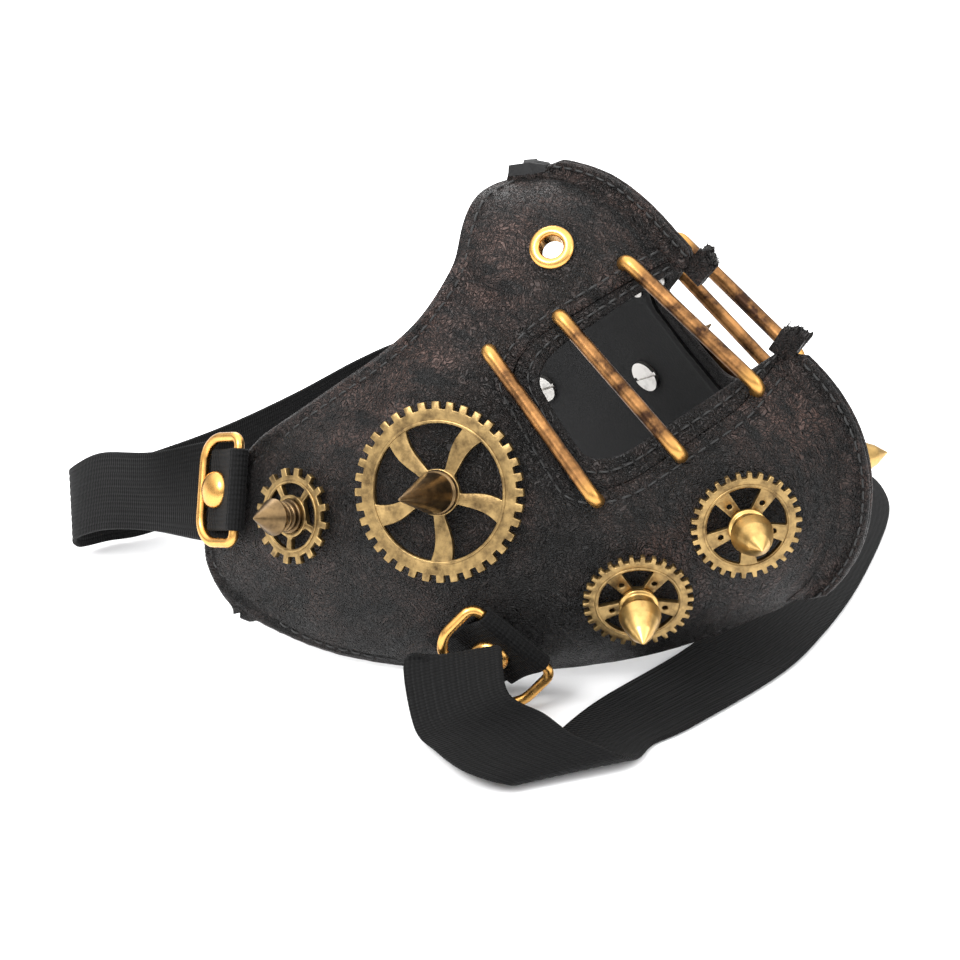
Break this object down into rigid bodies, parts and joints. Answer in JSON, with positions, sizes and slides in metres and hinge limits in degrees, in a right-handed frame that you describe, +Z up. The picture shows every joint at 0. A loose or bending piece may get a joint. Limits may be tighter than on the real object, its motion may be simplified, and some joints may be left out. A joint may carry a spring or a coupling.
{
  "type": "steampunk half-face mask",
  "caption": "Moulded half-face mask for nose, mouth and jaw, with barred mouth, gears, spikes and two elastic straps on rings, resting on a table.",
  "frame": {"origin": "bottom centre of the whole part's bounding box, on the table", "axes": "+Z up; the wearer's face looks along -Y, leaning back; the wearer's right side is -X"},
  "size_m": [0.1855, 0.1838, 0.1043],
  "materials": {
    "leather": "cracked satin, rubbed brown at the edges",
    "trim": "satin",
    "lining": "matte",
    "elastic": "ribbed matte",
    "bar_bronze": "stained copper bronze",
    "antique_brass": "antique",
    "dark_bronze": "dark satin",
    "gold_brass": "polished",
    "nickel": "plain"
  },
  "bodies": {
    "mask": {"bar_washers": "nickel", "eyelet_washers": "nickel", "head_strap": "elastic", "left_cheek_spike": "dark_bronze", "left_ear_dome_rivet": "gold_brass", "left_ear_spike": "dark_bronze", "left_ear_tab": "elastic", "left_eyelet": "gold_brass", "left_front_chin_spike": "gold_brass", "left_front_mouth_bar": "bar_bronze", "left_jaw_dome_rivet": "gold_brass", "left_jaw_tab": "elastic", "left_lining": "lining", "left_lower_chin_spike": "gold_brass", "left_middle_mouth_bar": "bar_bronze", "left_mouth_trim": "trim", "left_panel": "leather", "left_rear_mouth_bar": "bar_bronze", "neck_strap": "elastic", "right_cheek_spike": "dark_bronze", "right_ear_dome_rivet": "gold_brass", "right_ear_spike": "dark_bronze", "right_ear_tab": "elastic", "right_eyelet": "gold_brass", "right_front_chin_spike": "gold_brass", "right_front_mouth_bar": "bar_bronze", "right_jaw_dome_rivet": "gold_brass", "right_jaw_tab": "elastic", "right_lining": "lining", "right_lower_chin_spike": "gold_brass", "right_middle_mouth_bar": "bar_bronze", "right_mouth_trim": "trim", "right_panel": "leather", "right_rear_mouth_bar": "bar_bronze", "rivet_caps": "nickel", "spike_screws": "nickel"},
    "right_cheek_gear_body": {"right_cheek_gear": "antique_brass"},
    "right_ear_gear_body": {"right_ear_gear": "antique_brass"},
    "right_lower_chin_gear_body": {"right_lower_chin_gear": "antique_brass"},
    "right_front_chin_gear_body": {"right_front_chin_gear": "antique_brass"},
    "right_ear_ring_body": {"right_ear_ring": "gold_brass"},
    "right_jaw_ring_body": {"right_jaw_ring": "gold_brass"},
    "left_cheek_gear_body": {"left_cheek_gear": "antique_brass"},
    "left_ear_gear_body": {"left_ear_gear": "antique_brass"},
    "left_lower_chin_gear_body": {"left_lower_chin_gear": "antique_brass"},
    "left_front_chin_gear_body": {"left_front_chin_gear": "antique_brass"},
    "left_ear_ring_body": {"left_ear_ring": "gold_brass"},
    "left_jaw_ring_body": {"left_jaw_ring": "gold_brass"}
  },
  "joints": [
    {"name": "right_cheek_gear_spin", "type": "hinge", "parent": "mask", "child": "right_cheek_gear_body", "pos_m": [-0.0663, -0.01799, 0.04562], "axis": [-0.9246, -0.2105, 0.3174], "continuous": true},
    {"name": "right_ear_gear_spin", "type": "hinge", "parent": "mask", "child": "right_ear_gear_body", "pos_m": [-0.07203, 0.01562, 0.03348], "axis": [-0.9513, 0.1001, 0.2916], "continuous": true},
    {"name": "right_lower_chin_gear_spin", "type": "hinge", "parent": "mask", "child": "right_lower_chin_gear_body", "pos_m": [-0.05323, -0.05687, 0.02766], "axis": [-0.8036, -0.5665, -0.1826], "continuous": true},
    {"name": "right_front_chin_gear_spin", "type": "hinge", "parent": "mask", "child": "right_front_chin_gear_body", "pos_m": [-0.04147, -0.07354, 0.044], "axis": [-0.7609, -0.6445, 0.075], "continuous": true},
    {"name": "right_ear_ring_swing", "type": "hinge", "parent": "mask", "child": "right_ear_ring_body", "pos_m": [-0.07064, 0.03321, 0.03442], "axis": [0.4119, 0.2211, 0.884], "range_deg": [0, 100]},
    {"name": "right_jaw_ring_swing", "type": "hinge", "parent": "mask", "child": "right_jaw_ring_body", "pos_m": [-0.06511, -0.03502, 0.01669], "axis": [-0.4663, 0.5451, 0.6967], "range_deg": [0, 40], "deforming": ["neck_strap"]},
    {"name": "left_cheek_gear_spin", "type": "hinge", "parent": "mask", "child": "left_cheek_gear_body", "pos_m": [0.0192, -0.01799, 0.04562], "axis": [0.9246, -0.2105, 0.3174], "continuous": true},
    {"name": "left_ear_gear_spin", "type": "hinge", "parent": "mask", "child": "left_ear_gear_body", "pos_m": [0.02493, 0.01562, 0.03348], "axis": [0.9513, 0.1001, 0.2916], "continuous": true},
    {"name": "left_lower_chin_gear_spin", "type": "hinge", "parent": "mask", "child": "left_lower_chin_gear_body", "pos_m": [0.00613, -0.05687, 0.02766], "axis": [0.8036, -0.5665, -0.1826], "continuous": true},
    {"name": "left_front_chin_gear_spin", "type": "hinge", "parent": "mask", "child": "left_front_chin_gear_body", "pos_m": [-0.00563, -0.07354, 0.044], "axis": [0.7609, -0.6445, 0.075], "continuous": true},
    {"name": "left_ear_ring_swing", "type": "hinge", "parent": "mask", "child": "left_ear_ring_body", "pos_m": [0.02354, 0.03321, 0.03442], "axis": [0.4119, -0.2211, -0.884], "range_deg": [0, 100]},
    {"name": "left_jaw_ring_swing", "type": "hinge", "parent": "mask", "child": "left_jaw_ring_body", "pos_m": [0.01801, -0.03502, 0.01669], "axis": [-0.4663, -0.5451, -0.6967], "range_deg": [0, 40], "deforming": ["neck_strap"]}
  ]
}
